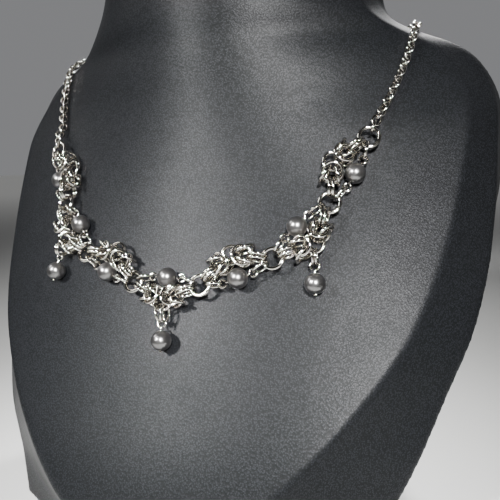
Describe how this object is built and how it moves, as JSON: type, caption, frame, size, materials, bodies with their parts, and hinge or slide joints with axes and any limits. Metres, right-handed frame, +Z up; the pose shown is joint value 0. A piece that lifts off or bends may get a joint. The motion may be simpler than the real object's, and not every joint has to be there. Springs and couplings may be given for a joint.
{
  "type": "chainmaille pearl necklace on a neck bust",
  "caption": "Steel chainmaille necklace with dark grey pearls and pearl drops, displayed on a charcoal leatherette neck bust.",
  "frame": {"origin": "middle of the whole, under it on the bust's flat base", "axes": "+Z up, the chest faces -Y, +X towards the wearer's left shoulder"},
  "size_m": [0.184, 0.0982, 0.18],
  "materials": {
    "leatherette": "fine pebbled grain with a satin sheen",
    "steel": "bright polished stainless wire",
    "pearl": "dark grey satin pearl"
  },
  "bodies": {
    "root": {"bust": "leatherette", "weave_1": "steel", "weave_2": "steel", "weave_3": "steel", "weave_4": "steel", "weave_5": "steel", "weave_6": "steel", "weave_7": "steel", "centre_ring_1": "steel", "centre_ring_2": "steel", "centre_ring_3": "steel", "centre_ring_4": "steel", "centre_ring_5": "steel", "centre_ring_6": "steel", "centre_ring_7": "steel", "connector_ring_1": "steel", "connector_ring_2": "steel", "connector_ring_3": "steel", "connector_ring_4": "steel", "connector_ring_5": "steel", "connector_ring_6": "steel", "connector_ring_7": "steel", "connector_ring_8": "steel", "pearl_1": "pearl", "pearl_2": "pearl", "pearl_3": "pearl", "pearl_4": "pearl", "pearl_5": "pearl", "pearl_6": "pearl", "pearl_7": "pearl", "pearl_wire_1": "steel", "pearl_wire_2": "steel", "pearl_wire_3": "steel", "pearl_wire_4": "steel", "pearl_wire_5": "steel", "pearl_wire_6": "steel", "pearl_wire_7": "steel", "link_rings_1": "steel", "link_rings_2": "steel", "link_rings_3": "steel", "link_rings_4": "steel", "link_rings_5": "steel", "link_rings_6": "steel", "link_rings_7": "steel", "drop_pearl_1": "pearl", "drop_pearl_2": "pearl", "drop_pearl_3": "pearl", "drop_wire_1": "steel", "drop_wire_2": "steel", "drop_wire_3": "steel", "bail_rings_1": "steel", "bail_rings_2": "steel", "bail_rings_3": "steel", "chain_left": "steel", "chain_right": "steel", "clasp": "steel"}
  },
  "joints": []
}
